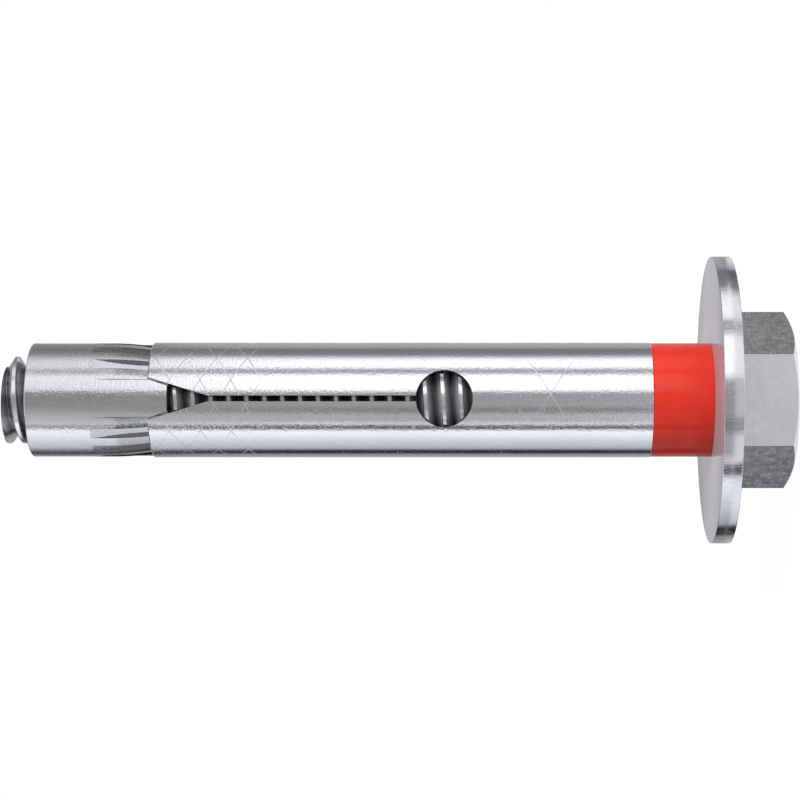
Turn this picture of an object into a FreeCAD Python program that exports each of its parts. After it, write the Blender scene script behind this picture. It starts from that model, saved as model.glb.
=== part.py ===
import FreeCAD, Part
import os
import re
import Sketcher

# Sleeve anchor, standing on its bolt head, in millimetres. The origin is the centre of the head's end
# face and +Z runs along the bolt to its tip. From the head up: a wide washer, a crush ring, the
# expansion sleeve, and the cone nut, whose keys stand in the V-shaped mouths of the sleeve's slots.

SIZES = (
    ("thread_diameter", 9.1, "over the crests of the bolt's thread"),
    ("tip_chamfer", 0.2, "on the bolt's tip"),
    ("tip_length", 2.7, "bolt beyond the cone nut"),
    ("head_flats", 16.0, "across the flats of the hexagon"),
    ("head_height", 6.4, "hexagon and bearing face together"),
    ("bearing_height", 0.4, "round face under the hexagon"),
    ("bearing_inset", 0.7, "bearing face inside the flats"),
    ("chamfer_inset", 0.4, "end face of the head inside the flats"),
    ("chamfer_angle", 22.0, "degrees, slope of the head's chamfer"),
    ("washer_diameter", 30.0, "outside of the washer"),
    ("washer_thickness", 2.0, "of the washer"),
    ("washer_clearance", 0.45, "around the thread, in the washer"),
    ("washer_rounding", 0.15, "on the washer's rim"),
    ("ring_length", 6.2, "crush ring"),
    ("ring_clearance", 0.2, "around the thread, in the crush ring"),
    ("ring_inset", 0.05, "crush ring inside the sleeve's outline"),
    ("sleeve_length", 51.9, "expansion sleeve"),
    ("sleeve_clearance", 0.25, "around the thread, in the sleeve"),
    ("sleeve_wall", 1.2, "of the sleeve"),
    ("slot_count", 3, "slots in the sleeve, and keys on the cone nut"),
    ("slot_width", 0.6, "narrow part of each slot"),
    ("slot_turn", 1.6, "degrees that the first slot stands from -Y"),
    ("mouth_length", 6.2, "V-shaped mouth of each slot"),
    ("hole_diameter", 5.85, "relief hole at the end of each slot"),
    ("hole_place", 30.4, "from the sleeve's open end to the relief hole's centre"),
    ("edge_break", 0.15, "small chamfer on the outer edges of sleeve, ring and cone nut"),
    ("cone_length", 14.6, "cone nut"),
    ("cone_inset", 0.07, "cone nut inside the sleeve's outline"),
    ("cone_insert", 2.0, "of the cone nut inside the sleeve"),
    ("thread_play", 0.05, "around the thread, in the cone nut"),
    ("ramp_length", 6.2, "curved ramp at the cone nut's thin end"),
    ("ramp_radius", 24.0, "of the ramp's curve"),
    ("seat_gap", 0.1, "between the ramp and the sleeve's tapered seat"),
    ("key_width", 3.96, "keys of the cone nut, across"),
    ("key_gap", 0.22, "each side of a key, in the wide end of the mouth"),
    ("key_end_gap", 0.27, "each side of a key's narrow end"),
    ("rib_length", 8.0, "of the grooves that part the ribs"),
    ("groove_width", 1.2, "between two ribs"),
    ("groove_spacing", 22.5, "degrees between grooves"),
    ("groove_floor", 0.3, "metal left under a groove at the cone nut's thin end"),
)
groove_steps = (-1, 0, 1)  # of groove_spacing, from midway between two keys

# Sizes that follow from the sheet, as expressions in its words
thread_radius = "(thread_diameter / 2)"
sleeve_bore = "(thread_diameter / 2 + sleeve_clearance)"
sleeve_radius = "(thread_diameter / 2 + sleeve_clearance + sleeve_wall)"
ring_radius = f"({sleeve_radius} - ring_inset)"
cone_radius = f"({sleeve_radius} - cone_inset)"
cone_bore = "(thread_diameter / 2 + thread_play)"
groove_bottom = f"({cone_bore} + groove_floor)"
corner_radius = "(head_flats / sqrt(3))"
ramp_centre = f"({cone_radius} - ramp_radius)"
ramp_at_back = f"({ramp_centre} + sqrt(ramp_radius ^ 2 - ramp_length ^ 2))"
ramp_at_mouth = f"({ramp_centre} + sqrt(ramp_radius ^ 2 - (ramp_length - cone_insert) ^ 2))"
seat_at_mouth = f"({ramp_at_mouth} + seat_gap)"
seat_slope = f"(({ramp_at_mouth} - {ramp_at_back}) / cone_insert)"
seat_depth = f"(({seat_at_mouth} - {sleeve_bore}) / {seat_slope})"
mouth_half = "(key_width / 2 + key_gap)"
mouth_slope = f"(({mouth_half} - slot_width / 2) / mouth_length)"
key_end_half = f"({mouth_half} - cone_insert * {mouth_slope} - key_end_gap)"
key_angle = f"(asin(key_width / 2 / {cone_radius}))"
washer_level = "(head_height)"
ring_level = "(head_height + washer_thickness)"
sleeve_level = "(head_height + washer_thickness + ring_length)"
cone_level = "(head_height + washer_thickness + ring_length + sleeve_length - cone_insert)"
tip_level = f"({cone_level} + cone_length + tip_length)"

doc = FreeCAD.newDocument("sleeve_anchor")


def make_sheet():
    sheet = doc.addObject("Spreadsheet::Sheet", "Sizes")
    for row, (alias, number, note) in enumerate(SIZES, start=1):
        sheet.set(f"A{row}", alias)
        sheet.set(f"B{row}", str(number))
        sheet.set(f"C{row}", note)
        sheet.setAlias(f"B{row}", alias)
    doc.recompute()


def on_sheet(expression):
    return re.sub(r"[a-z]+(_[a-z]+)+", lambda word: "Sizes." + word.group(), expression)


def value(owner, expression):
    found = owner.evalExpression(on_sheet(expression))
    return float(getattr(found, "Value", found))


def origin_feature(body, role):
    return next(feature for feature in body.Origin.OriginFeatures if feature.Role == role)


def new_body(name, level="0", turned=False):
    body = doc.addObject("PartDesign::Body", name)
    body.Label = name
    if level != "0":
        body.setExpression("Placement.Base.z", on_sheet(level))
    if turned:
        body.Placement.Rotation = FreeCAD.Rotation(FreeCAD.Vector(0, 0, 1), 1)
        body.setExpression("Placement.Rotation.Angle", on_sheet("slot_turn * 1 deg"))
    doc.recompute()
    return body


def new_sketch(body, name, plane="XZ_Plane", turn="", rise=""):
    sketch = body.newObject("Sketcher::SketchObject", name)
    sketch.AttachmentSupport = [(origin_feature(body, plane), "")]
    sketch.MapMode = "FlatFace"
    if turn:
        sketch.AttachmentOffset = FreeCAD.Placement(
            FreeCAD.Vector(), FreeCAD.Rotation(FreeCAD.Vector(0, 1, 0), 1)
        )
        sketch.setExpression("AttachmentOffset.Rotation.Angle", on_sheet(turn))
    if rise:
        sketch.setExpression("AttachmentOffset.Base.z", on_sheet(rise))
    doc.recompute()
    return sketch


def bind(sketch, kind, geometry, point, expression):
    # The point's distance from the sketch's origin, along X or Y
    if expression == "0":
        other_axis = {"DistanceX": -2, "DistanceY": -1}[kind]
        sketch.addConstraint(Sketcher.Constraint("PointOnObject", geometry, point, other_axis))
        return
    number = value(sketch, expression)
    index = sketch.addConstraint(Sketcher.Constraint(kind, -1, 1, geometry, point, number))
    sketch.setExpression(f"Constraints[{index}]", on_sheet(expression))


def outline(sketch, corners):
    first = sketch.GeometryCount
    count = len(corners)
    points = [FreeCAD.Vector(value(sketch, x), value(sketch, y), 0) for x, y in corners]
    for index, point in enumerate(points):
        sketch.addGeometry(Part.LineSegment(point, points[(index + 1) % count]))
    for index, (x, y) in enumerate(corners):
        following = first + (index + 1) % count
        sketch.addConstraint(Sketcher.Constraint("Coincident", first + index, 2, following, 1))
        bind(sketch, "DistanceX", first + index, 1, x)
        bind(sketch, "DistanceY", first + index, 1, y)


def circle(sketch, height, diameter):
    centre = FreeCAD.Vector(0, value(sketch, height), 0)
    radius = value(sketch, diameter) / 2
    round_line = sketch.addGeometry(Part.Circle(centre, FreeCAD.Vector(0, 0, 1), radius))
    bind(sketch, "DistanceX", round_line, 3, "0")
    bind(sketch, "DistanceY", round_line, 3, height)
    index = sketch.addConstraint(Sketcher.Constraint("Diameter", round_line, 2 * radius))
    sketch.setExpression(f"Constraints[{index}]", on_sheet(diameter))


def revolve(body, name, sketch):
    feature = body.newObject("PartDesign::Revolution", name)
    feature.Profile = sketch
    feature.ReferenceAxis = (sketch, ["V_Axis"])
    feature.Angle = 360
    doc.recompute()
    return feature


def cut(body, kind, name, sketch, reach, **settings):
    # A cut that misses the solid shows no error, so the volume is compared
    before = body.Shape.Volume
    feature = body.newObject(kind, name)
    feature.Profile = sketch
    for setting, content in settings.items():
        setattr(feature, setting, content)
    if kind == "PartDesign::Groove":
        feature.ReferenceAxis = (sketch, ["V_Axis"])
        feature.setExpression("Angle", on_sheet(reach))
    else:
        feature.setExpression("Length", on_sheet(reach))
    doc.recompute()
    if not feature.Shape.Volume < before:
        raise ValueError(f"{name} removes nothing")
    return feature


def cut_outwards(body, name, sketch):
    return cut(body, "PartDesign::Pocket", name, sketch, sleeve_radius, Reversed=True)


def repeat_around(body, name, features):
    pattern = body.newObject("PartDesign::PolarPattern", name)
    pattern.Originals = features
    pattern.Axis = (origin_feature(body, "Z_Axis"), [""])
    pattern.Angle = 360
    pattern.setExpression("Occurrences", on_sheet("slot_count"))
    body.Tip = pattern
    doc.recompute()
    return pattern


def make_hex_bolt():
    body = new_body("hex_bolt")
    hexagon = new_sketch(body, "hexagon", "XY_Plane")
    outline(
        hexagon,
        [
            (corner_radius, "0"),
            (f"{corner_radius} / 2", "head_flats / 2"),
            (f"-{corner_radius} / 2", "head_flats / 2"),
            (f"-{corner_radius}", "0"),
            (f"-{corner_radius} / 2", "-head_flats / 2"),
            (f"{corner_radius} / 2", "-head_flats / 2"),
        ],
    )
    head = body.newObject("PartDesign::Pad", "head")
    head.Profile = hexagon
    head.setExpression("Length", on_sheet("head_height - bearing_height"))
    doc.recompute()

    corners = new_sketch(body, "head_corners")
    inside = "head_flats / 2 - chamfer_inset"
    outline(
        corners,
        [
            (inside, "0"),
            ("head_flats", "0"),
            ("head_flats", f"(head_flats - ({inside})) * tan(chamfer_angle * 1 deg)"),
        ],
    )
    cut(body, "PartDesign::Groove", "head_chamfer", corners, "360 deg")

    shank = new_sketch(body, "shank_section")
    bearing_radius = "head_flats / 2 - bearing_inset"
    outline(
        shank,
        [
            ("0", "head_height - bearing_height"),
            (bearing_radius, "head_height - bearing_height"),
            (bearing_radius, "head_height"),
            (thread_radius, "head_height"),
            (thread_radius, f"{tip_level} - tip_chamfer"),
            (f"{thread_radius} - tip_chamfer", tip_level),
            ("0", tip_level),
        ],
    )
    revolve(body, "shank", shank)
    return body


def make_flat_washer():
    body = new_body("flat_washer", washer_level)
    rings = new_sketch(body, "washer_outline", "XY_Plane")
    circle(rings, "0", "washer_diameter")
    circle(rings, "0", "thread_diameter + 2 * washer_clearance")
    disc = body.newObject("PartDesign::Pad", "disc")
    disc.Profile = rings
    disc.setExpression("Length", on_sheet("washer_thickness"))
    doc.recompute()

    rim_radius = value(disc, "washer_diameter") / 2
    rim = [
        f"Edge{number}"
        for number, edge in enumerate(disc.Shape.Edges, start=1)
        if isinstance(edge.Curve, Part.Circle) and abs(edge.Curve.Radius - rim_radius) < 1e-6
    ]
    rounding = body.newObject("PartDesign::Fillet", "rim_rounding")
    rounding.Base = (disc, rim)
    rounding.setExpression("Radius", on_sheet("min(washer_rounding; washer_thickness / 3)"))
    doc.recompute()
    return body


def make_crush_ring():
    body = new_body("crush_ring", ring_level)
    section = new_sketch(body, "ring_section")
    bore = "thread_diameter / 2 + ring_clearance"
    outline(
        section,
        [
            (bore, "0"),
            (f"{ring_radius} - edge_break", "0"),
            (ring_radius, "edge_break"),
            (ring_radius, "ring_length - edge_break"),
            (f"{ring_radius} - edge_break", "ring_length"),
            (bore, "ring_length"),
        ],
    )
    revolve(body, "ring", section)
    return body


def make_expansion_sleeve():
    body = new_body("expansion_sleeve", sleeve_level, turned=True)
    section = new_sketch(body, "tube_section")
    outline(
        section,
        [
            (sleeve_bore, "0"),
            (f"{sleeve_radius} - edge_break", "0"),
            (sleeve_radius, "edge_break"),
            (sleeve_radius, "sleeve_length - edge_break"),
            (f"{sleeve_radius} - edge_break", "sleeve_length"),
            (seat_at_mouth, "sleeve_length"),
            (sleeve_bore, f"sleeve_length - {seat_depth}"),
        ],
    )
    revolve(body, "tube", section)

    hole_centre = "sleeve_length - hole_place"
    inside_wall = f"{sleeve_bore} / 2"
    slot = new_sketch(body, "slot_outline", rise=inside_wall)
    outline(
        slot,
        [
            ("-slot_width / 2", hole_centre),
            ("slot_width / 2", hole_centre),
            ("slot_width / 2", "sleeve_length - mouth_length"),
            (mouth_half, "sleeve_length"),
            (f"-{mouth_half}", "sleeve_length"),
            ("-slot_width / 2", "sleeve_length - mouth_length"),
        ],
    )
    hole = new_sketch(body, "hole_outline", rise=inside_wall)
    circle(hole, hole_centre, "hole_diameter")
    cuts = [cut_outwards(body, "slot_and_mouth", slot), cut_outwards(body, "relief_hole", hole)]
    repeat_around(body, "slots", cuts)
    return body


def make_cone_nut():
    # The thin end is at the body's own origin. One key faces -Y, as the first slot does.
    body = new_body("cone_nut", cone_level, turned=True)
    section = new_sketch(body, "blank_section")
    outline(
        section,
        [
            (cone_bore, "0"),
            (cone_radius, "0"),
            (cone_radius, "cone_length - edge_break"),
            (f"{cone_radius} - edge_break", "cone_length"),
            (cone_bore, "cone_length"),
        ],
    )
    revolve(body, "blank", section)

    # The first key is at -90 degrees from +X, and the cuts lie midway between it and the next one
    midway = "(180 deg / slot_count - 90 deg)"
    cuts = [cut_ramp(body, midway)]
    for step in groove_steps:
        turn = f"{midway} + {step} * groove_spacing * 1 deg"
        cuts.append(cut_groove(body, f"groove_{len(cuts)}", turn))
    cuts.append(cut_key_sides(body))
    repeat_around(body, "ramps_and_ribs", cuts)
    return body


def cut_ramp(body, midway):
    # A curve tangent to the blank, turned through the angle between two keys
    sketch = new_sketch(body, "ramp_outline", turn=midway)
    outside = f"{cone_radius} + edge_break"
    centre = FreeCAD.Vector(value(sketch, ramp_centre), value(sketch, "ramp_length"), 0)
    back = FreeCAD.Vector(value(sketch, ramp_at_back), 0, 0)
    top = FreeCAD.Vector(value(sketch, cone_radius), centre.y, 0)
    top_outside = FreeCAD.Vector(value(sketch, outside), centre.y, 0)
    back_outside = FreeCAD.Vector(top_outside.x, 0, 0)
    full = Part.Circle(centre, FreeCAD.Vector(0, 0, 1), value(sketch, "ramp_radius"))
    arc = sketch.addGeometry(Part.ArcOfCircle(full, full.parameter(back), full.parameter(top)))
    across = sketch.addGeometry(Part.LineSegment(top, top_outside))
    down = sketch.addGeometry(Part.LineSegment(top_outside, back_outside))
    home = sketch.addGeometry(Part.LineSegment(back_outside, back))
    for ends in ((arc, 2, across, 1), (across, 2, down, 1), (down, 2, home, 1), (home, 2, arc, 1)):
        sketch.addConstraint(Sketcher.Constraint("Coincident", *ends))
    bind(sketch, "DistanceX", arc, 3, ramp_centre)
    bind(sketch, "DistanceY", arc, 3, "ramp_length")
    bind(sketch, "DistanceX", across, 1, cone_radius)
    bind(sketch, "DistanceY", across, 1, "ramp_length")
    bind(sketch, "DistanceX", down, 1, outside)
    bind(sketch, "DistanceY", down, 1, "ramp_length")
    bind(sketch, "DistanceX", home, 1, outside)
    bind(sketch, "DistanceY", home, 1, "0")
    bind(sketch, "DistanceY", arc, 1, "0")
    turned = f"360 deg / slot_count - 2 * {key_angle}"
    return cut(body, "PartDesign::Groove", "ramp", sketch, turned, Midplane=True)


def cut_groove(body, name, turn):
    # A straight floor that runs out to the surface at the groove's far end
    sketch = new_sketch(body, f"{name}_outline", turn=turn)
    outside = f"{cone_radius} + edge_break"
    outline(
        sketch,
        [(groove_bottom, "0"), (outside, "0"), (outside, "rib_length"), (cone_radius, "rib_length")],
    )
    return cut(body, "PartDesign::Pocket", name, sketch, "groove_width", SideType="Symmetric")


def cut_key_sides(body):
    # Each key narrows inside the sleeve, to follow the sides of the mouth, down to the ramp's thin end
    sketch = new_sketch(body, "key_sides", rise=f"{ramp_at_back} * cos({key_angle})")
    for side in ("", "-"):
        outline(
            sketch,
            [
                (f"{side}{key_end_half}", "0"),
                (f"{side}(key_width / 2)", "0"),
                (f"{side}(key_width / 2)", "cone_insert"),
            ],
        )
    return cut_outwards(body, "key_taper", sketch)


def write_parts(bodies):
    doc.recompute()
    for item in doc.Objects:
        if "Invalid" in item.State or "Error" in item.State:
            raise ValueError(f"{item.Label} failed: {item.State}")
    for body in bodies:
        if body.Shape.isNull() or not body.Shape.isValid() or len(body.Shape.Solids) != 1:
            raise ValueError(f"{body.Label} is not one valid solid")
    os.makedirs("parts", exist_ok=True)
    for body in bodies:
        body.Shape.exportStep(f"parts/{body.Label}.step")
        box = body.Shape.BoundBox
        print(f"{body.Label}: {body.Shape.Volume:.1f} mm3, z {box.ZMin:.2f} to {box.ZMax:.2f}")


make_sheet()
makers = (make_hex_bolt, make_flat_washer, make_crush_ring, make_expansion_sleeve, make_cone_nut)
write_parts([make() for make in makers])
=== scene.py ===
import math

import bmesh
import bpy
from mathutils import Matrix, Vector


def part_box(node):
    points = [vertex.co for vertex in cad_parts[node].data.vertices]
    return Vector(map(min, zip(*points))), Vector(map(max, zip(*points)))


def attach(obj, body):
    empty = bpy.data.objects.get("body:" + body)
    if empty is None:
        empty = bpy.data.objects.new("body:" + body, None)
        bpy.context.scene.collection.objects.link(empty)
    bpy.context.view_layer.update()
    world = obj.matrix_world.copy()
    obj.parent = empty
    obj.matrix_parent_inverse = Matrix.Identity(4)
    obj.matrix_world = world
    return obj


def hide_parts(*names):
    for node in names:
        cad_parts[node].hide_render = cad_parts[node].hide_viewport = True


# Sleeve anchor standing on its bolt head, looked at from the side. Shapes are made in millimetres
# and brought to metres when a piece is finished.
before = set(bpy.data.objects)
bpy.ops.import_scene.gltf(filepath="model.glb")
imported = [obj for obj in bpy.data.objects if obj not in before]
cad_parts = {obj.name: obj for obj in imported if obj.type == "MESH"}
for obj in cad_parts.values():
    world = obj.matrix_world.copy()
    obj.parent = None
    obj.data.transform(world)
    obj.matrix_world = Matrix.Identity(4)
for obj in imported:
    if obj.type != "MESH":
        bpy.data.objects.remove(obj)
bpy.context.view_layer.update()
toMetres = 0.001
tolerances = {  # how close corners are merged, in millimetres
    "turned": 1e-5,
    "cut": 1e-4,
    "wound": 1e-3,
}


def levels(node):
    # Bottom and top of a CAD node in millimetres
    low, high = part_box(node)
    return low[2] / toMetres, high[2] / toMetres


def turned(profile, steps, sweep=360.0, start=0.0):
    # Turns an outline of (radius, height) points about the bolt's axis
    shell = bmesh.new()
    corners = [shell.verts.new((radius, 0, height)) for radius, height in profile]
    full = sweep == 360
    if full:
        for index, corner in enumerate(corners):
            shell.edges.new((corner, corners[(index + 1) % len(corners)]))
    else:
        shell.faces.new(corners)
    turn(shell, start)
    bmesh.ops.spin(
        shell, geom=shell.verts[:] + shell.edges[:] + shell.faces[:], cent=(0, 0, 0),
        axis=(0, 0, 1), angle=math.radians(sweep), steps=steps, use_merge=full,
    )
    bmesh.ops.remove_doubles(shell, verts=shell.verts, dist=tolerances["turned"])
    bmesh.ops.recalc_face_normals(shell, faces=shell.faces)
    return shell


def turn(shell, degrees):
    bmesh.ops.rotate(
        shell, cent=(0, 0, 0), matrix=Matrix.Rotation(math.radians(degrees), 3, "Z"),
        verts=shell.verts,
    )


def prism(outline, direction):
    # A flat outline pushed along a direction
    shell = bmesh.new()
    face = shell.faces.new([shell.verts.new(corner) for corner in outline])
    pushed = bmesh.ops.extrude_face_region(shell, geom=[face])
    tops = [item for item in pushed["geom"] if isinstance(item, bmesh.types.BMVert)]
    bmesh.ops.translate(shell, vec=direction, verts=tops)
    bmesh.ops.recalc_face_normals(shell, faces=shell.faces)
    return shell


def roundedRing(low, high, outer, inner, steps, rounding, segments):
    # A flat ring whose two outer edges are rounded
    ring = turned([(inner, low), (outer, low), (outer, high), (inner, high)], steps)
    slack = 1e-3
    rims = [edge for edge in ring.edges
            if all(abs(corner.co.xy.length - outer) < slack for corner in edge.verts)
            and abs(edge.verts[0].co.z - edge.verts[1].co.z) < slack]
    bmesh.ops.bevel(ring, geom=rims, offset=rounding, offset_type="OFFSET", affect="EDGES",
                    segments=segments, profile=0.5, material=-1)
    return ring


def meshFrom(shell, name):
    mesh = bpy.data.meshes.new(name)
    shell.to_mesh(mesh)
    shell.free()
    return mesh


def placed(name, data):
    thing = bpy.data.objects.new(name, data)
    bpy.context.scene.collection.objects.link(thing)
    return thing


def joined(shells):
    whole = bmesh.new()
    for shell in shells:
        part = meshFrom(shell, "part")
        whole.from_mesh(part)
        bpy.data.meshes.remove(part)
    return whole


def repeatedAround(shell, count):
    copies = []
    for index in range(count):
        copy = shell.copy()
        turn(copy, 360 * index / count)
        copies.append(copy)
    shell.free()
    return joined(copies)


def shapedBy(shell, tool, operation="DIFFERENCE"):
    # Cuts or trims one shell with another, and frees both
    pair = [placed("blank", meshFrom(source, "blank")) for source in (shell, tool)]
    cutting = pair[0].modifiers.new("cutting", "BOOLEAN")
    cutting.operation = operation
    cutting.solver = "EXACT"
    cutting.object = pair[1]
    result = bmesh.new()
    result.from_object(pair[0], bpy.context.evaluated_depsgraph_get())
    for blank in pair:
        bpy.data.meshes.remove(blank.data)
    bmesh.ops.remove_doubles(result, verts=result.verts, dist=tolerances["cut"])
    bmesh.ops.dissolve_degenerate(result, dist=tolerances["cut"], edges=result.edges)
    return result


def finished(shell, name, body, node, materials,
             takesSecond=None, roundRadius=None, sharpAngle=28):
    bmesh.ops.scale(shell, vec=(toMetres,) * 3, verts=shell.verts)
    mesh = meshFrom(shell, name)
    mesh.shade_smooth()
    mesh.set_sharp_from_angle(angle=math.radians(sharpAngle))
    if roundRadius:
        straightenNormals(mesh, roundRadius * toMetres)
    for material in materials:
        mesh.materials.append(material)
    if takesSecond:
        for face in mesh.polygons:
            face.material_index = 1 if takesSecond(face) else 0
    piece = placed(name, mesh)
    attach(piece, body)
    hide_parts(node)
    print(f"{name}: {len(mesh.polygons)} faces, {len(mesh.vertices)} corners")


def straightenNormals(mesh, radius):
    # Gives the round outside its true normals, also beside the cuts
    slack = 2e-5  # metres from the radius
    steepest = 0.2
    normals = [Vector(corner.vector) for corner in mesh.corner_normals]
    for face in mesh.polygons:
        corners = [mesh.vertices[index].co for index in face.vertices]
        onOutside = all(abs(corner.xy.length - radius) < slack for corner in corners)
        if onOutside and abs(face.normal.z) < steepest:
            for loop, corner in zip(face.loop_indices, corners):
                normals[loop] = Vector((corner.x, corner.y, 0)).normalized()
    mesh.normals_split_custom_set(normals)


def calc(tree, operation, *values):
    node = tree.nodes.new("ShaderNodeMath")
    node.operation = operation
    for socket, value in zip(node.inputs, values):
        if isinstance(value, bpy.types.NodeSocket):
            tree.links.new(value, socket)
        else:
            socket.default_value = value
    return node.outputs[0]


def combined(tree, operation, values):
    # The largest, smallest or sum of several values
    result = values[0]
    for value in values[1:]:
        result = calc(tree, operation, result, value)
    return result


def distance(tree, first, second):
    return calc(tree, "ABSOLUTE", calc(tree, "SUBTRACT", first, second))


def ranged(tree, value, fromLow, fromHigh, toLow, toHigh, smooth=False):
    node = tree.nodes.new("ShaderNodeMapRange")
    node.interpolation_type = "SMOOTHSTEP" if smooth else "LINEAR"
    node.clamp = True
    tree.links.new(value, node.inputs["Value"])
    limits = {"From Min": fromLow, "From Max": fromHigh, "To Min": toLow, "To Max": toHigh}
    for name, number in limits.items():
        node.inputs[name].default_value = number
    return node.outputs["Result"]


def grain(tree, perMillimetre, detail=3.0, place=(0, 0, 0)):
    # Noise with its own number of features to the millimetre along each axis
    coordinates = tree.nodes.new("ShaderNodeTexCoord")
    mapping = tree.nodes.new("ShaderNodeMapping")
    mapping.inputs["Scale"].default_value = [number / toMetres for number in perMillimetre]
    mapping.inputs["Location"].default_value = place
    noise = tree.nodes.new("ShaderNodeTexNoise")
    noise.inputs["Scale"].default_value = 1.0
    noise.inputs["Detail"].default_value = detail
    noise.inputs["Roughness"].default_value = 0.55
    tree.links.new(coordinates.outputs["Object"], mapping.inputs["Vector"])
    tree.links.new(mapping.outputs["Vector"], noise.inputs["Vector"])
    return noise.outputs["Fac"]


def spread(tree, noise, low=0.0, high=1.0):
    # The values that noise mostly takes, brought to a range
    return ranged(tree, noise, 0.3, 0.7, low, high)


def unevenRoughness(tree, noise, middle, shares):
    return spread(tree, noise, middle * shares[0], middle * shares[1])


def objectPlace(tree):
    coordinates = tree.nodes.new("ShaderNodeTexCoord")
    parts = tree.nodes.new("ShaderNodeSeparateXYZ")
    tree.links.new(coordinates.outputs["Object"], parts.inputs["Vector"])
    return parts.outputs["X"], parts.outputs["Y"], parts.outputs["Z"]


def turnAndHeight(tree):
    # Degrees round the bolt from -Y towards +X, and height in millimetres
    x, y, z = objectPlace(tree)
    angle = calc(tree, "ARCTAN2", x, calc(tree, "MULTIPLY", y, -1))
    return calc(tree, "MULTIPLY", angle, 180 / math.pi), calc(tree, "MULTIPLY", z, 1 / toMetres)


def radiusFromAxis(tree):
    # Millimetres from the bolt's axis
    x, y, z = objectPlace(tree)
    squares = [calc(tree, "MULTIPLY", side, side) for side in (x, y)]
    return calc(tree, "MULTIPLY", calc(tree, "SQRT", calc(tree, "ADD", *squares)), 1 / toMetres)


def tinted(tree, value, dark, light):
    # A colour between two, each of them a colour or a socket
    mix = tree.nodes.new("ShaderNodeMix")
    mix.data_type = "RGBA"
    sockets = [socket for socket in mix.inputs if socket.type == "RGBA"]
    for socket, colour in zip(sockets, (dark, light)):
        if isinstance(colour, bpy.types.NodeSocket):
            tree.links.new(colour, socket)
        else:
            socket.default_value = (*colour, 1)
    tree.links.new(value, mix.inputs["Factor"])
    return next(socket for socket in mix.outputs if socket.type == "RGBA")


def bumped(tree, heights):
    # One bump after another: (height socket, strength, depth in millimetres)
    normal = None
    for height, strength, depth in heights:
        bump = tree.nodes.new("ShaderNodeBump")
        bump.inputs["Strength"].default_value = strength
        bump.inputs["Distance"].default_value = depth * toMetres
        tree.links.new(height, bump.inputs["Height"])
        if normal:
            tree.links.new(normal, bump.inputs["Normal"])
        normal = bump.outputs["Normal"]
    return normal


def newMaterial(name):
    material = bpy.data.materials.new(name)
    material.use_nodes = True
    tree = material.node_tree
    return material, tree, tree.nodes["Principled BSDF"]


plating = {  # what all the steel pieces share, with depths in millimetres
    "clouds": (0.12, 0.12, 0.12),
    "toneSpan": (0.32, 0.68),
    "roughnessShares": (0.8, 1.25),
    "roughest": 0.9,
    "grainDepth": 0.02,
    "scratchEdge": 0.04,
    "scratchDepth": -0.02,
    "scribedDepth": -0.03,
}


def steel(name, look):
    # Plated steel: drawn lines, speckle and short scratches; scribed lines and painted shade may come on
    # top
    material, tree, shader = newMaterial(name)
    shader.inputs["Metallic"].default_value = 1.0
    lines = grain(tree, look["lines"], detail=4)
    speckle = grain(tree, look["speckle"], detail=2, place=(7, 3, 1))
    clouds = grain(tree, plating["clouds"], detail=3, place=(2, 5, 8))
    level = look["scratchLevel"]
    scratches = combined(tree, "MAXIMUM", [
        ranged(tree, grain(tree, stretch, detail=1.5, place=(11 * index, 4, 9)),
               level, level + plating["scratchEdge"], 0, 1, smooth=True)
        for index, stretch in enumerate(look["scratches"])])
    tone = calc(tree, "ADD", calc(tree, "MULTIPLY", lines, 0.5), calc(tree, "MULTIPLY", clouds, 0.5))
    tone = calc(tree, "MAXIMUM", ranged(tree, tone, *plating["toneSpan"], 0, 1), scratches)
    roughness = unevenRoughness(tree, lines, look["roughness"], plating["roughnessShares"])
    roughness = calc(tree, "ADD", roughness, calc(tree, "MULTIPLY", scratches, look["scratchRoughness"]))
    heights = [
        (lines, look["lineStrength"], plating["grainDepth"]),
        (speckle, look["speckleStrength"], plating["grainDepth"]),
        (scratches, look["scratchStrength"], plating["scratchDepth"]),
    ]
    if "scribing" in look:
        scribed = look["scribing"](tree)
        rougher = calc(tree, "MULTIPLY", scribed, look["scribedRoughness"])
        roughness = calc(tree, "ADD", roughness, rougher)
        heights.append((scribed, look["scribedStrength"], plating["scribedDepth"]))
    # painted shade darkens the base colour
    if "shading" in look:
        tone = ranged(tree, tone, 0, 1, look["toneBase"], 1)
        tone = calc(tree, "SUBTRACT", tone, look["shading"](tree))
    tree.links.new(tinted(tree, tone, look["dark"], look["light"]), shader.inputs["Base Color"])
    tree.links.new(calc(tree, "MINIMUM", roughness, plating["roughest"]), shader.inputs["Roughness"])
    tree.links.new(bumped(tree, heights), shader.inputs["Normal"])
    return material


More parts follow.
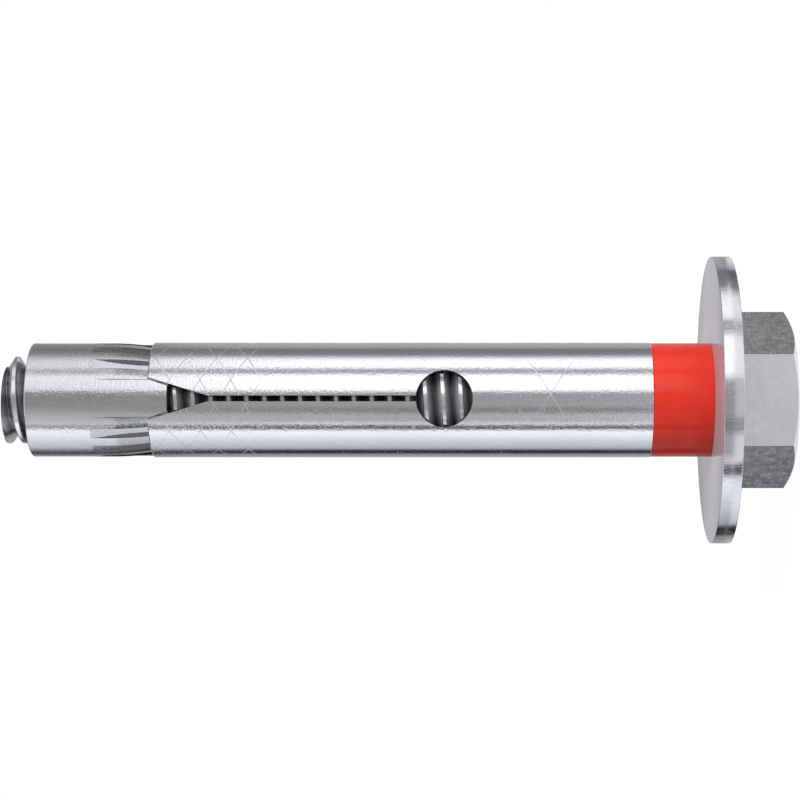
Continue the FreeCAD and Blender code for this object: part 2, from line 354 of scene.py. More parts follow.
boltSizes = {
    "threadRadius": 4.55,
    "threadDepth": 1.1,
    "pitch": 1.84,
    "crestWidth": 0.42,
    "crestRounding": 0.06,
    "rootWidth": 0.06,
    "crestLevel": 36.68,  # of one crest, where it faces +X
    "threadSteps": 72,
    "threadSunk": 0.5,  # how far the thread goes on inside the head
    "headFlats": 16.0,
    "headSteps": 144,
    "bearingHeight": 0.4,
    "bearingInset": 0.7,
    "bearingSunk": 0.2,
    "bearingSteps": 96,
    "chamferInset": 0.4,
    "chamferAngle": 22.0,
    "edgeRounding": 0.012,
    "edgeAngle": 50.0,  # corners sharper than this are rounded
}
boltLook = {
    "dark": (0.76, 0.765, 0.79),
    "light": (0.90, 0.905, 0.92),
    "roughness": 0.2,
    "lines": (1.2, 1.2, 1.2),  # features to the millimetre along X, Y and Z, as in all the grain
    "lineStrength": 0.01,
    "speckle": (7, 7, 7),
    "speckleStrength": 0.02,
    "scratches": ((0.7, 0.7, 13), (13, 13, 0.6)),
    "scratchLevel": 0.655,
    "scratchRoughness": 0.17,
    "scratchStrength": 0.09,
    "thread": {
        "radii": (3.5, 4.42, 4.5),  # of the roots, of the flanks' outer edge and of the crests
        # painted shade and light on the thread: tones of roots, flanks and crests, darkest inside the
        # sleeve's narrow slots
        "slotShadeTones": (0.06, 0.20, 0.64),
        "openLightTones": (0.13, 0.46, 0.86),  # where the relief holes and mouths let the light in
        "tipTones": (0.34, 0.62, 0.86),  # painted light: lighter beyond the cone nut
        "holeBlend": 0.3,
        "mouthBlend": (0.5, 2.0),
        "tipBlend": (78.6, 79.6),
        "flankPower": 1.3,
        "rootMetallic": 0.4,
        "tint": (0.96, 0.965, 1.0),
        "roughness": 0.2,
        "roughnessShares": (0.8, 1.4),
        "grain": (6, 6, 6),
        "grainStrength": 0.1,
        "grainDepth": 0.02,
    },
}


def threadSteel(look):
    # Painted shade and light in the base colour: bright on the thread's crests, dark in its roots, and
    # darker where only a narrow slot shows it
    material, tree, shader = newMaterial("threadSteel")
    height = turnAndHeight(tree)[1]
    sleeveEnd = levels("expansion_sleeve")[1]
    holeEdge = sleeveSizes["holeDiameter"] / 2
    fromHole = distance(tree, height, sleeveEnd - sleeveSizes["holePlace"])
    inHole = ranged(tree, fromHole, holeEdge - look["holeBlend"], holeEdge + look["holeBlend"], 1, 0)
    mouthStart, mouthFull = (sleeveEnd - sleeveSizes["mouthLength"] + rise for rise in look["mouthBlend"])
    opened = calc(tree, "MAXIMUM", inHole, ranged(tree, height, mouthStart, mouthFull, 0, 1))
    atTip = ranged(tree, height, *look["tipBlend"], 0, 1)
    tones = []
    for slotTone, openTone, tipTone in zip(look["slotShadeTones"], look["openLightTones"], look["tipTones"]):
        tone = ranged(tree, opened, 0, 1, slotTone, openTone)
        tones.append(calc(tree, "ADD", tone, calc(tree, "MULTIPLY", atTip, tipTone - openTone)))
    rootTone, flankTone, crestTone = tones
    radius = radiusFromAxis(tree)
    rootRadius, flankRadius, crestRadius = look["radii"]
    flank = calc(tree, "POWER", ranged(tree, radius, rootRadius, flankRadius, 0, 1), look["flankPower"])
    crest = ranged(tree, radius, flankRadius, crestRadius, 0, 1)
    onFlank = calc(tree, "MULTIPLY", flank, calc(tree, "SUBTRACT", flankTone, rootTone))
    onCrest = calc(tree, "MULTIPLY", crest, calc(tree, "SUBTRACT", crestTone, flankTone))
    tone = combined(tree, "ADD", [rootTone, onFlank, onCrest])
    metallic = ranged(tree, calc(tree, "MAXIMUM", crest, atTip), 0, 1, look["rootMetallic"], 1)
    texture = grain(tree, look["grain"], detail=3, place=(5, 2, 6))
    roughness = unevenRoughness(tree, texture, look["roughness"], look["roughnessShares"])
    normal = bumped(tree, [(texture, look["grainStrength"], look["grainDepth"])])
    tree.links.new(tinted(tree, tone, (0, 0, 0), look["tint"]), shader.inputs["Base Color"])
    tree.links.new(metallic, shader.inputs["Metallic"])
    tree.links.new(roughness, shader.inputs["Roughness"])
    tree.links.new(normal, shader.inputs["Normal"])
    return material


def makeThread(sizes, start, tip):
    # One turn of the thread's outline, and copies of it up the bolt past both of its ends
    radius, pitch, steps = sizes["threadRadius"], sizes["pitch"], sizes["threadSteps"]
    root, middle = radius - sizes["threadDepth"], pitch / 2
    crest, valley, rounding = sizes["crestWidth"] / 2, sizes["rootWidth"] / 2, sizes["crestRounding"]
    past = 3.0  # cut off again at the tip
    wraps = math.ceil((sizes["crestLevel"] - start) / pitch) + 1
    firstLevel = sizes["crestLevel"] - (wraps + 0.5) * pitch
    outline = [
        (root, 0), (root, valley),
        (radius - rounding, middle - crest - rounding / 2), (radius, middle - crest + rounding / 2),
        (radius, middle + crest - rounding / 2), (radius - rounding, middle + crest + rounding / 2),
        (root, pitch - valley), (root, pitch),
    ]
    oneTurn = bmesh.new()
    corners = [oneTurn.verts.new((reach, 0, firstLevel + rise)) for reach, rise in outline]
    for first, second in zip(corners, corners[1:]):
        oneTurn.edges.new((first, second))
    bmesh.ops.spin(
        oneTurn, geom=oneTurn.verts[:] + oneTurn.edges[:], cent=(0, 0, 0), axis=(0, 0, 1),
        dvec=(0, 0, pitch / steps), angle=math.radians(360), steps=steps,
    )
    rounds = []
    for index in range(math.ceil((tip + past - firstLevel) / pitch)):
        copy = oneTurn.copy()
        bmesh.ops.translate(copy, vec=(0, 0, index * pitch), verts=copy.verts)
        rounds.append(copy)
    oneTurn.free()
    thread = joined(rounds)
    bmesh.ops.remove_doubles(thread, verts=thread.verts, dist=tolerances["wound"])
    for level, way in ((start - sizes["threadSunk"], -1), (tip, 1)):
        bmesh.ops.bisect_plane(
            thread, geom=thread.verts[:] + thread.edges[:] + thread.faces[:],
            dist=tolerances["turned"], plane_co=(0, 0, level), plane_no=(0, 0, way), clear_outer=True,
        )
    bmesh.ops.holes_fill(thread, edges=[edge for edge in thread.edges if edge.is_boundary], sides=0)
    bmesh.ops.recalc_face_normals(thread, faces=thread.faces)
    openEdges = sum(edge.is_boundary for edge in thread.edges)
    print(f"thread wound: {len(thread.faces)} faces, {openEdges} open edges")
    return thread


def makeHead(sizes, bottom, top):
    # A hexagon with the turned chamfer of its end face
    head = bmesh.new()
    hexagon = bmesh.ops.create_circle(
        head, cap_ends=True, radius=sizes["headFlats"] / math.sqrt(3), segments=6,
        matrix=Matrix.Translation((0, 0, bottom)) @ Matrix.Rotation(math.radians(90), 4, "Z"),
    )["verts"]
    lifted = bmesh.ops.extrude_face_region(head, geom=hexagon[0].link_faces[:])["geom"]
    bmesh.ops.translate(head, vec=(0, 0, top - bottom),
                        verts=[corner for corner in lifted if isinstance(corner, bmesh.types.BMVert)])
    bmesh.ops.recalc_face_normals(head, faces=head.faces)
    under, over, beside = 1e-3, 1.0, 0.5  # the chamfering shell stands this far clear of the head
    endRadius = sizes["headFlats"] / 2 - sizes["chamferInset"]
    outside = sizes["headFlats"] / math.sqrt(3) + beside
    rise = (outside - endRadius) * math.tan(math.radians(sizes["chamferAngle"]))
    chamfering = turned([(0, bottom - under), (endRadius, bottom - under), (outside, bottom + rise),
                         (outside, top + over), (0, top + over)], sizes["headSteps"])
    head = shapedBy(head, chamfering, "INTERSECT")
    sharpest = math.radians(sizes["edgeAngle"])
    corners = [edge for edge in head.edges
               if len(edge.link_faces) == 2 and edge.calc_face_angle(0) > sharpest]
    bmesh.ops.bevel(head, geom=corners, offset=sizes["edgeRounding"], offset_type="OFFSET",
                    affect="EDGES", segments=2, profile=0.5, material=-1, clamp_overlap=True)
    return head


def makeBolt(sizes, look):
    bottom, tip = levels("hex_bolt")
    bearingLevel = levels("flat_washer")[0]
    headTop = bearingLevel - sizes["bearingHeight"]
    thread = makeThread(sizes, bearingLevel, tip)
    head = makeHead(sizes, bottom, headTop)
    bearingRadius = sizes["headFlats"] / 2 - sizes["bearingInset"]
    sunk = headTop - sizes["bearingSunk"]
    bearing = turned([(0, sunk), (bearingRadius, sunk), (bearingRadius, bearingLevel), (0, bearingLevel)],
                     sizes["bearingSteps"])
    threadStart = (bearingLevel + 0.01) * toMetres
    finished(joined([head, bearing, thread]), "hexBolt", "bolt", "hex_bolt",
             [steel("scratchedPlatedSteel", look), threadSteel(look["thread"])],
             takesSecond=lambda face: face.center.z > threadStart, sharpAngle=14)


washerSizes = {
    "radius": 15.0,
    "bore": 5.0,  # a radius too, as in the other pieces
    "rimRounding": 0.09,
    "steps": 192,
}
washerLook = {
    "dark": (0.62, 0.615, 0.645),
    "light": (0.74, 0.735, 0.765),
    "roughness": 0.15,
    "lines": (5.5, 5.5, 0.7),
    "lineStrength": 0.22,
    "speckle": (7, 7, 5),
    "speckleStrength": 0.12,
    "scratches": ((11, 11, 0.9),),
    "scratchLevel": 0.68,
    "scratchRoughness": 0.15,
    "scratchStrength": 0.15,
    "face": {
        "dark": (0.60, 0.59, 0.66),
        "light": (0.65, 0.64, 0.71),
        "metallic": 0.48,
        "specular": 0.0,
        "roughness": 0.13,
        "roughnessShares": (0.8, 1.2),
        "clouds": (0.25, 0.25, 0.25),
        "grain": (5, 5, 5),
        "grainStrength": 0.06,
        "grainDepth": 0.01,
        "flatness": 0.95,  # faces that lie flatter than this take it
    },
}


def satinPlate(look):
    # The washer's flat faces: zinc plate, smooth and a little milky
    material, tree, shader = newMaterial("satinZincPlate")
    shader.inputs["Metallic"].default_value = look["metallic"]
    shader.inputs["Specular IOR Level"].default_value = look["specular"]
    clouds = spread(tree, grain(tree, look["clouds"], detail=4))
    texture = grain(tree, look["grain"], detail=3, place=(4, 4, 4))
    roughness = unevenRoughness(tree, texture, look["roughness"], look["roughnessShares"])
    normal = bumped(tree, [(texture, look["grainStrength"], look["grainDepth"])])
    tree.links.new(tinted(tree, clouds, look["dark"], look["light"]), shader.inputs["Base Color"])
    tree.links.new(roughness, shader.inputs["Roughness"])
    tree.links.new(normal, shader.inputs["Normal"])
    return material


def makeWasher(sizes, look):
    low, high = levels("flat_washer")
    washer = roundedRing(low, high, sizes["radius"], sizes["bore"], sizes["steps"],
                         sizes["rimRounding"], segments=4)
    finished(washer, "flatWasher", "washer", "flat_washer",
             [steel("brightWasherSteel", look), satinPlate(look["face"])],
             takesSecond=lambda face: abs(face.normal.z) > look["face"]["flatness"])


ringSizes = {
    "radius": 5.95,
    "bore": 4.75,
    "edgeBreak": 0.06,
    "steps": 192,
}
ringLook = {
    "colour": (0.82, 0.043, 0.024),
    "deepColour": (0.75, 0.037, 0.021),
    "roughness": 0.16,
    "roughnessShares": (0.85, 1.2),
    "specular": 0.22,
    "clouds": (0.35, 0.35, 0.35),
    "grain": (9, 9, 9),
    "grainStrength": 0.06,
    "grainDepth": 0.01,
    "flow": (0.5, 0.5, 4),
    "flowStrength": 0.05,
    "flowDepth": 0.02,
}


def redPlastic(look):
    material, tree, shader = newMaterial("redMouldedPlastic")
    shader.inputs["Specular IOR Level"].default_value = look["specular"]
    clouds = spread(tree, grain(tree, look["clouds"], detail=3))
    texture = grain(tree, look["grain"], detail=2, place=(3, 1, 4))
    flow = grain(tree, look["flow"], detail=2, place=(6, 2, 5))
    roughness = unevenRoughness(tree, flow, look["roughness"], look["roughnessShares"])
    normal = bumped(tree, [(texture, look["grainStrength"], look["grainDepth"]),
                           (flow, look["flowStrength"], look["flowDepth"])])
    tree.links.new(tinted(tree, clouds, look["deepColour"], look["colour"]), shader.inputs["Base Color"])
    tree.links.new(roughness, shader.inputs["Roughness"])
    tree.links.new(normal, shader.inputs["Normal"])
    return material


def makeRing(sizes, look):
    low, high = levels("crush_ring")
    ring = roundedRing(low, high, sizes["radius"], sizes["bore"], sizes["steps"],
                       sizes["edgeBreak"], segments=3)
    finished(ring, "crushRing", "ring", "crush_ring", [redPlastic(look)])


sleeveSizes = {
    "radius": 6.0,
    "bore": 4.8,
    "slotCount": 3,
    "slotTurn": 1.6,
    "slotWidth": 0.6,
    "mouthLength": 6.2,
    "mouthHalf": 2.2,
    "holeDiameter": 5.85,
    "holePlace": 30.4,
    "holeSteps": 96,
    "seatRadius": 5.66,
    "seatDepth": 3.87,
    "edgeBreak": 0.1,
    "steps": 240,
}
hatching = {  # the crossing lines near the mouth
    "starts": 7,
    "pitch": 3.15,
    "turn": -5.5,
    "level": 59.55,
    "lowest": 55.2,
    "ending": 0.3,
    "halfWidth": 0.016,
    "edgeShares": (0.5, 1.3),
    "fadeGrain": (0.5, 0.5, 0.5),
    "fadeSpan": (0.35, 0.6),
    "faintest": 0.35,
}
scribedCross = {  # the single cross beyond the hole
    "level": 25.2,
    "turn": 6.2,
    "slope": 0.065,
    "edge": (0.03, 0.08),
    "depth": 0.6,
    "middle": 7,
    "reach": (22, 32),
}
sleeveLook = {
    # the dark end is reached only where painted shade darkens the tone
    "dark": (0.10, 0.10, 0.10),
    "light": (0.80, 0.80, 0.82),
    "toneBase": 0.87,
    "roughness": 0.12,
    "lines": (6.0, 6.0, 0.7),
    "lineStrength": 0.06,
    "speckle": (4.2, 4.2, 5.6),
    "speckleStrength": 0.8,
    "scratches": ((0.6, 0.6, 9),),
    "scratchLevel": 0.72,
    "scratchRoughness": 0.15,
    "scratchStrength": 0.2,
    "scribedRoughness": 0.42,
    "scribedStrength": 0.35,
    "scribedShade": 0.12,
}


def scribedLines(tree):
    # Crossing helical lines near the mouth, and one cross beyond the hole
    degrees, height = turnAndHeight(tree)
    fromTurn = calc(tree, "SUBTRACT", degrees, hatching["turn"])
    fromLevel = calc(tree, "SUBTRACT", height, hatching["level"])
    across = calc(tree, "MULTIPLY", fromTurn, hatching["starts"] / 360)
    along = calc(tree, "MULTIPLY", fromLevel, 1 / hatching["pitch"])
    nearest = combined(tree, "MINIMUM", [
        calc(tree, "PINGPONG", calc(tree, way, across, along), 0.5) for way in ("ADD", "SUBTRACT")])
    inner, outer = (hatching["halfWidth"] * share for share in hatching["edgeShares"])
    lines = ranged(tree, nearest, inner, outer, 1, 0, smooth=True)
    lowest, ending = hatching["lowest"], hatching["ending"]
    lines = calc(tree, "MULTIPLY", lines, ranged(tree, height, lowest - ending, lowest + ending, 0, 1))
    fade = grain(tree, hatching["fadeGrain"], detail=2, place=(1, 9, 2))
    fade = ranged(tree, fade, *hatching["fadeSpan"], hatching["faintest"], 1)
    lines = calc(tree, "MULTIPLY", lines, fade)

    fromCross = calc(tree, "SUBTRACT", degrees, scribedCross["turn"])
    lean = calc(tree, "MULTIPLY", fromCross, scribedCross["slope"])
    rise = calc(tree, "SUBTRACT", height, scribedCross["level"])
    arms = calc(tree, "MINIMUM", distance(tree, rise, lean),
                calc(tree, "ABSOLUTE", calc(tree, "ADD", rise, lean)))
    cross = ranged(tree, arms, *scribedCross["edge"], scribedCross["depth"], 0, smooth=True)
    within = ranged(tree, distance(tree, fromCross, scribedCross["middle"]), *scribedCross["reach"], 1, 0)
    return calc(tree, "MAXIMUM", lines, calc(tree, "MULTIPLY", cross, within))


def makeSleeve(sizes, look):
    low, high = levels("expansion_sleeve")
    outer, bore, small = sizes["radius"], sizes["bore"], sizes["edgeBreak"]
    tube = turned([
        (bore, low), (outer - small, low), (outer, low + small), (outer, high - small),
        (outer - small, high), (sizes["seatRadius"], high), (bore, high - sizes["seatDepth"]),
    ], sizes["steps"])
    half, inside = sizes["slotWidth"] / 2, -bore / 2
    holeLevel, mouthLevel = high - sizes["holePlace"], high - sizes["mouthLength"]
    widening = (sizes["mouthHalf"] - half) / sizes["mouthLength"]
    over = 1.0  # past the sleeve's end
    endHalf = sizes["mouthHalf"] + widening * over
    slot = prism([
        (-half, inside, holeLevel), (half, inside, holeLevel), (half, inside, mouthLevel),
        (endHalf, inside, high + over), (-endHalf, inside, high + over), (-half, inside, mouthLevel),
    ], (0, -outer, 0))
    hole = bmesh.new()
    place = Matrix.Translation((0, inside - outer / 2, holeLevel))
    bmesh.ops.create_cone(hole, cap_ends=True, segments=sizes["holeSteps"],
                          radius1=sizes["holeDiameter"] / 2, radius2=sizes["holeDiameter"] / 2,
                          depth=outer, matrix=place @ Matrix.Rotation(math.radians(90), 4, "X"))
    for cutter in (slot, hole):
        turn(cutter, sizes["slotTurn"])
        tube = shapedBy(tube, repeatedAround(cutter, sizes["slotCount"]))

    # painted shade along the scribed lines
    def scribedShade(tree):
        return calc(tree, "MULTIPLY", scribedLines(tree), look["scribedShade"])

    fullLook = dict(look, scribing=scribedLines, shading=scribedShade)
    finished(tube, "expansionSleeve", "sleeve", "expansion_sleeve",
             [steel("drawnBrightSteel", fullLook)], roundRadius=outer)


coneSizes = {
    "radius": 5.93,
    "bore": 4.6,
    "insert": 2.0,  # how deep the keys stand in the mouths
    "rampLength": 6.2,
    "rampRadius": 24.0,
    "rampSteps": 40,
    "arcSteps": 24,
    "keyWidth": 3.96,
    "keyEndHalf": 1.307,
    "ribLength": 8.0,
    "grooveWidth": 1.2,
    "grooveSpacing": 22.5,
    "grooveFloor": 0.3,
    "edgeBreak": 0.08,
    "steps": 240,
}
coneLook = {
    # the dark end is reached only where painted shade darkens the tone
    "dark": (0.10, 0.10, 0.10),
    "light": (0.78, 0.78, 0.80),
    "toneBase": 0.87,
    "roughness": 0.14,
    "lines": (5.5, 5.5, 0.5),
    "lineStrength": 0.3,
    "speckle": (4.0, 4.0, 5.0),
    "speckleStrength": 0.68,
    "scratches": ((1.5, 1.5, 14), (13, 13, 1.2)),
    "scratchLevel": 0.66,
    "scratchRoughness": 0.2,
    "scratchStrength": 0.12,
}
# painted shade on the cone nut: dark lines at the feet of the keys and ribs, and darker ramps and grooves
ribLines = {
    "angles": (19.3, 31.4),  # each way from the middle of a key
    "halfWidth": 0.8,
    "edgeShares": (0.4, 1.4),
    "reach": 8.0,
    "fading": 2.4,
    "depth": 0.6,
    "recess": 0.24,  # painted shade: how much darker the ramps are
    "recessDepths": (0.03, 0.006),  # below the outside, where that starts and ends
    "grooves": (37.5, 60),
    "grooveHalf": 5.9,
    "grooveEdge": 0.3,
    # painted shade: how much darker the grooves are
    "grooveRecess": 0.33,
    "grooveEnding": 0.05,
}


def paintedRibShade(tree):
    # Painted shade in the base colour: thin dark lines along the feet of the keys and ribs, which grow
    # towards the sleeve, and darker ramps and grooves between them
    degrees, height = turnAndHeight(tree)
    fromSlot = calc(tree, "SUBTRACT", degrees, sleeveSizes["slotTurn"])
    fromKey = calc(tree, "PINGPONG", fromSlot, 180 / sleeveSizes["slotCount"])
    start = levels("cone_nut")[0]
    nearest = combined(tree, "MINIMUM", [distance(tree, fromKey, angle) for angle in ribLines["angles"]])
    inner, outer = (ribLines["halfWidth"] * share for share in ribLines["edgeShares"])
    line = ranged(tree, nearest, inner, outer, ribLines["depth"], 0, smooth=True)
    lineEnd = start + ribLines["reach"]
    line = calc(tree, "MULTIPLY", line, ranged(tree, height, lineEnd - ribLines["fading"], lineEnd, 1, 0))
    deep, shallow = (coneSizes["radius"] - depth for depth in ribLines["recessDepths"])
    ramps = ranged(tree, radiusFromAxis(tree), deep, shallow, ribLines["recess"], 0)
    ribEnd, ending = start + coneSizes["ribLength"], ribLines["grooveEnding"]
    inRibs = ranged(tree, height, ribEnd - ending, ribEnd + ending, 1, 0)
    grooveHalf = ribLines["grooveHalf"]
    recess = combined(tree, "MAXIMUM", [ramps] + [
        calc(tree, "MULTIPLY", inRibs,
             ranged(tree, distance(tree, fromKey, angle), grooveHalf - ribLines["grooveEdge"], grooveHalf,
                    ribLines["grooveRecess"], 0))
        for angle in ribLines["grooves"]])
    return calc(tree, "ADD", line, recess)


def makeCone(sizes, look):
    low, high = levels("cone_nut")
    outer, bore, small = sizes["radius"], sizes["bore"], sizes["edgeBreak"]
    count = sleeveSizes["slotCount"]
    over = 0.5  # past the nut's end and outside
    nut = turned([
        (bore, low), (outer, low), (outer, high - small), (outer - small, high), (bore, high),
    ], sizes["steps"])

    # Curved ramps between the keys
    length, bend = sizes["rampLength"], sizes["rampRadius"]
    centre = outer - bend
    arc = []
    for index in range(sizes["arcSteps"] + 1):
        rise = -over + (length + over) * index / sizes["arcSteps"]
        arc.append((centre + math.sqrt(bend ** 2 - (length - rise) ** 2), low + rise))
    section = arc + [(outer + over, low + length), (outer + over, low - over)]
    keyAngle = math.degrees(math.asin(sizes["keyWidth"] / 2 / outer))
    keyTurn = -90 + sleeveSizes["slotTurn"]
    ramp = turned(section, sizes["rampSteps"], 360 / count - 2 * keyAngle, keyTurn + keyAngle)
    nut = shapedBy(nut, repeatedAround(ramp, count))

    # Grooves between the ribs
    floor = bore + sizes["grooveFloor"]
    slope = (outer - floor) / sizes["ribLength"]
    half = sizes["grooveWidth"] / 2
    grooves = []
    for step in (-1, 0, 1):
        groove = prism([
            (floor - slope * over, -half, low - over), (outer + over, -half, low - over),
            (outer + over, -half, low + sizes["ribLength"] + over / slope),
        ], (0, 2 * half, 0))
        turn(groove, keyTurn + 180 / count + step * sizes["grooveSpacing"])
        grooves.append(groove)
    nut = shapedBy(nut, repeatedAround(joined(grooves), count))

    # The keys narrow inside the mouths
    rampBack = centre + math.sqrt(bend ** 2 - length ** 2)
    bed = rampBack * math.cos(math.radians(keyAngle))
    width, endHalf = sizes["keyWidth"] / 2, sizes["keyEndHalf"]
    lean = (width - endHalf) / sizes["insert"]
    mouthEnd = low + sizes["insert"]
    sides = []
    for way in (-1, 1):
        side = prism([
            (way * (endHalf - lean * over), -bed, low - over), (way * (width + over), -bed, low - over),
            (way * (width + over), -bed, mouthEnd), (way * width, -bed, mouthEnd),
        ], (0, -outer, 0))
        turn(side, sleeveSizes["slotTurn"])
        sides.append(side)
    nut = shapedBy(nut, repeatedAround(joined(sides), count))
    fullLook = dict(look, shading=paintedRibShade)
    finished(nut, "coneNut", "cone", "cone_nut",
             [steel("turnedBrightSteel", fullLook)], roundRadius=outer)


studio = {
    "cameraDistance": 0.240,
    "cameraLevel": 0.03245,
    "lens": 103.07,
    "sensor": 36,
    "nearest": 0.01,
    "shift": -0.1,
    "ambient": 0.28,
    "keyTurn": 40.0,
    "keyStrength": 2.5,
    "keySpread": 50,
    "fillStrength": 0.55,
    "fillSpread": 80,
    "lampRise": 20,
    "floorRadius": 0.16,
    "floorSteps": 96,
    "floorTone": 0.9,
    "floorGlow": 1.15,
    "floorGlowShare": 0.8,
    "screenRadius": 0.6,
    "screenHeight": 3.2,
    "screenLevel": 0.05,
    "screenSteps": 180,
    "rowEdges": ((-0.070, -0.062), (-0.050, -0.044), (0.140, 0.152)),  # between the panels' four rows
}
# The studio's reflector panels: degrees round the anchor from -Y towards +X, the brightness that the
# bolt's head, the washer's rim, the sleeve and the cone nut reflect, and the tint
plain, cool = (1, 1, 1.02), (0.95, 0.98, 1.04)
panels = (
    (-180, 0.85, 0.50, 0.80, 0.50, plain), (-162, 0.70, 0.42, 0.42, 0.42, plain),
    (-138, 0.36, 0.33, 0.33, 0.06, plain), (-135, 0.01, 0.14, 0.03, 0.04, cool),
    (-119.5, 0.01, 0.16, 0.03, 0.35, cool), (-115.5, 0.80, 0.28, 0.52, 0.62, cool),
    (-86, 1.08, 0.84, 0.88, 0.97, cool), (-63, 1.08, 1.35, 1.35, 1.35, cool),
    (-60.5, 0.05, 0.52, 0.07, 0.42, plain), (-52, 0.05, 0.52, 0.07, 0.42, plain),
    (-50, 1.08, 1.05, 1.15, 0.85, plain), (-46.5, 1.08, 0.85, 0.95, 0.72, plain),
    (-44, 0.90, 0.62, 0.46, 0.60, plain), (-27, 1.00, 0.68, 0.53, 0.52, plain),
    (-25, 0.38, 0.44, 0.28, 0.42, plain), (-15, 0.36, 0.34, 0.27, 0.38, plain),
    (-13, 0.72, 0.43, 0.42, 0.30, plain), (15, 0.64, 0.39, 0.37, 0.28, plain),
    (20, 1.08, 1.15, 1.50, 0.86, plain), (51, 1.08, 1.50, 1.50, 1.02, plain),
    (54.5, 0.60, 0.38, 0.43, 0.50, plain), (64.5, 0.60, 0.36, 0.43, 0.50, plain),
    (67, 1.08, 1.42, 1.42, 0.86, plain), (88, 1.08, 1.46, 1.32, 0.76, plain),
    (99, 0.28, 1.32, 0.38, 0.44, plain), (105, 0.24, 0.40, 0.25, 0.32, plain),
    (117, 0.18, 0.25, 0.25, 0.22, plain), (124.5, 0.10, 0.20, 0.21, 0.20, plain),
    (129, 0.60, 0.33, 0.43, 0.26, plain), (146, 0.90, 0.31, 0.47, 0.28, plain),
    (162, 0.90, 0.40, 0.48, 0.40, plain), (180, 0.85, 0.50, 0.80, 0.50, plain),
)


def makeCamera():
    data = bpy.data.cameras.new("camera")
    data.lens = studio["lens"]
    data.sensor_width = studio["sensor"]
    data.shift_x = studio["shift"]
    data.clip_start = studio["nearest"]
    camera = placed("camera", data)
    # The picture's right is -Z and its top is +X, so that the standing anchor lies across it
    right, up, back = Vector((0, 0, -1)), Vector((1, 0, 0)), Vector((0, -1, 0))
    place = Matrix.Translation((0, -studio["cameraDistance"], studio["cameraLevel"]))
    camera.matrix_world = place @ Matrix((right, up, back)).transposed().to_4x4()
    bpy.context.scene.camera = camera


def makeLamp(name, degrees, strength, spreadAngle):
    data = bpy.data.lights.new(name, "SUN")
    data.energy = strength
    data.angle = math.radians(spreadAngle)
    lamp = placed(name, data)
    angle, lift = math.radians(degrees), math.radians(studio["lampRise"])
    flat = math.cos(lift)
    towards = Vector((math.sin(angle) * flat, -math.cos(angle) * flat, math.sin(lift)))
    lamp.rotation_mode = "QUATERNION"
    lamp.rotation_quaternion = towards.to_track_quat("Z", "Y")
    lamp.visible_glossy = False


def emptyTree(owner):
    owner.use_nodes = True
    owner.node_tree.nodes.clear()
    return owner.node_tree


def makeWorld():
    # White where the camera and the metal see it, and weaker as the light on the object
    world = bpy.data.worlds.new("studioWorld")
    bpy.context.scene.world = world
    tree = emptyTree(world)
    path = tree.nodes.new("ShaderNodeLightPath")
    background = tree.nodes.new("ShaderNodeBackground")
    output = tree.nodes.new("ShaderNodeOutputWorld")
    seen = combined(tree, "MAXIMUM", [
        path.outputs[f"Is {kind} Ray"] for kind in ("Camera", "Glossy", "Transmission")])
    level = calc(tree, "MULTIPLY_ADD", seen, 1 - studio["ambient"], studio["ambient"])
    background.inputs["Color"].default_value = (1, 1, 1, 1)
    tree.links.new(level, background.inputs["Strength"])
    tree.links.new(background.outputs[0], output.inputs["Surface"])


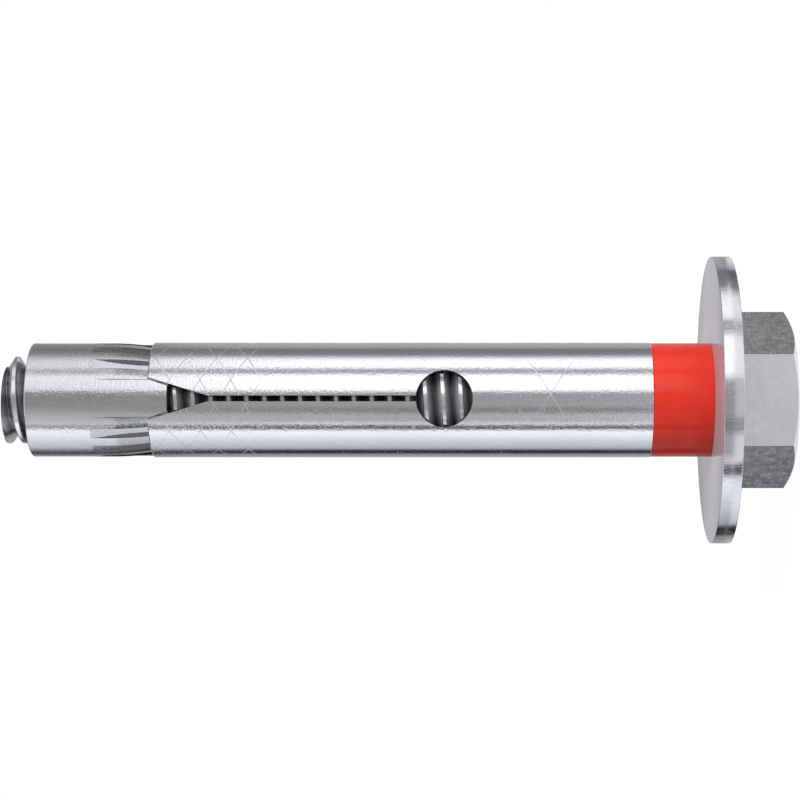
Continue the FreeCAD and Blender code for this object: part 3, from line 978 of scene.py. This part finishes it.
def makeScreen():
    # Reflector panels in a ring round the anchor, which only its bright metal shows
    ring = bmesh.new()
    bmesh.ops.create_cone(ring, cap_ends=False, segments=studio["screenSteps"],
                          radius1=studio["screenRadius"], radius2=studio["screenRadius"],
                          depth=studio["screenHeight"],
                          matrix=Matrix.Translation((0, 0, studio["screenLevel"])))
    screen = placed("reflectorPanels", meshFrom(ring, "reflectorPanels"))
    material = bpy.data.materials.new("panelLight")
    tree = emptyTree(material)
    degrees, height = turnAndHeight(tree)
    place = ranged(tree, degrees, -180, 180, 0, 1)
    brightest = max(max(panel[1:5]) for panel in panels)
    colour = None
    for row, edge in enumerate((None, *studio["rowEdges"]), start=1):
        ramp = tree.nodes.new("ShaderNodeValToRGB")
        ramp.color_ramp.interpolation = "LINEAR"
        stops = ramp.color_ramp.elements
        for index, panel in enumerate(panels):
            spot = (panel[0] + 180) / 360
            stop = stops[index] if index < 2 else stops.new(spot)
            stop.position = spot
            stop.color = [panel[row] / brightest * share for share in panel[5]] + [1]
        tree.links.new(place, ramp.inputs["Fac"])
        if edge:
            low, high = (level / toMetres for level in edge)
            above = ranged(tree, height, low, high, 0, 1)
            colour = tinted(tree, above, colour, ramp.outputs["Color"])
        else:
            colour = ramp.outputs["Color"]
    glow = tree.nodes.new("ShaderNodeEmission")
    glow.inputs["Strength"].default_value = brightest
    output = tree.nodes.new("ShaderNodeOutputMaterial")
    tree.links.new(colour, glow.inputs["Color"])
    tree.links.new(glow.outputs[0], output.inputs["Surface"])
    material.cycles.emission_sampling = "NONE"
    screen.data.materials.append(material)
    for kind in ("camera", "diffuse", "shadow", "transmission", "volume_scatter"):
        setattr(screen, "visible_" + kind, False)


def makeFloor():
    disc = bmesh.new()
    bmesh.ops.create_circle(disc, cap_ends=True, segments=studio["floorSteps"],
                            radius=studio["floorRadius"])
    floor = placed("paleFloor", meshFrom(disc, "paleFloor"))
    material = bpy.data.materials.new("paleFloor")
    tree = emptyTree(material)
    paint = tree.nodes.new("ShaderNodeBsdfDiffuse")
    paint.inputs["Color"].default_value = (*(studio["floorTone"],) * 3, 1)
    glow = tree.nodes.new("ShaderNodeEmission")
    glow.inputs["Strength"].default_value = studio["floorGlow"]
    path = tree.nodes.new("ShaderNodeLightPath")
    mix = tree.nodes.new("ShaderNodeMixShader")
    output = tree.nodes.new("ShaderNodeOutputMaterial")
    share = calc(tree, "MULTIPLY", path.outputs["Is Camera Ray"], studio["floorGlowShare"])
    tree.links.new(share, mix.inputs["Fac"])
    tree.links.new(paint.outputs[0], mix.inputs[1])
    tree.links.new(glow.outputs[0], mix.inputs[2])
    tree.links.new(mix.outputs[0], output.inputs["Surface"])
    floor.data.materials.append(material)
    floor.visible_glossy = False


makeCamera()
makeWorld()
makeScreen()
makeFloor()
makeLamp("keyLamp", studio["keyTurn"], studio["keyStrength"], studio["keySpread"])
makeLamp("fillLamp", studio["keyTurn"] + 180, studio["fillStrength"], studio["fillSpread"])
print("studio set up")
makeBolt(boltSizes, boltLook)
makeWasher(washerSizes, washerLook)
makeRing(ringSizes, ringLook)
makeSleeve(sleeveSizes, sleeveLook)
makeCone(coneSizes, coneLook)

bpy.context.scene.view_settings.view_transform = "Standard"
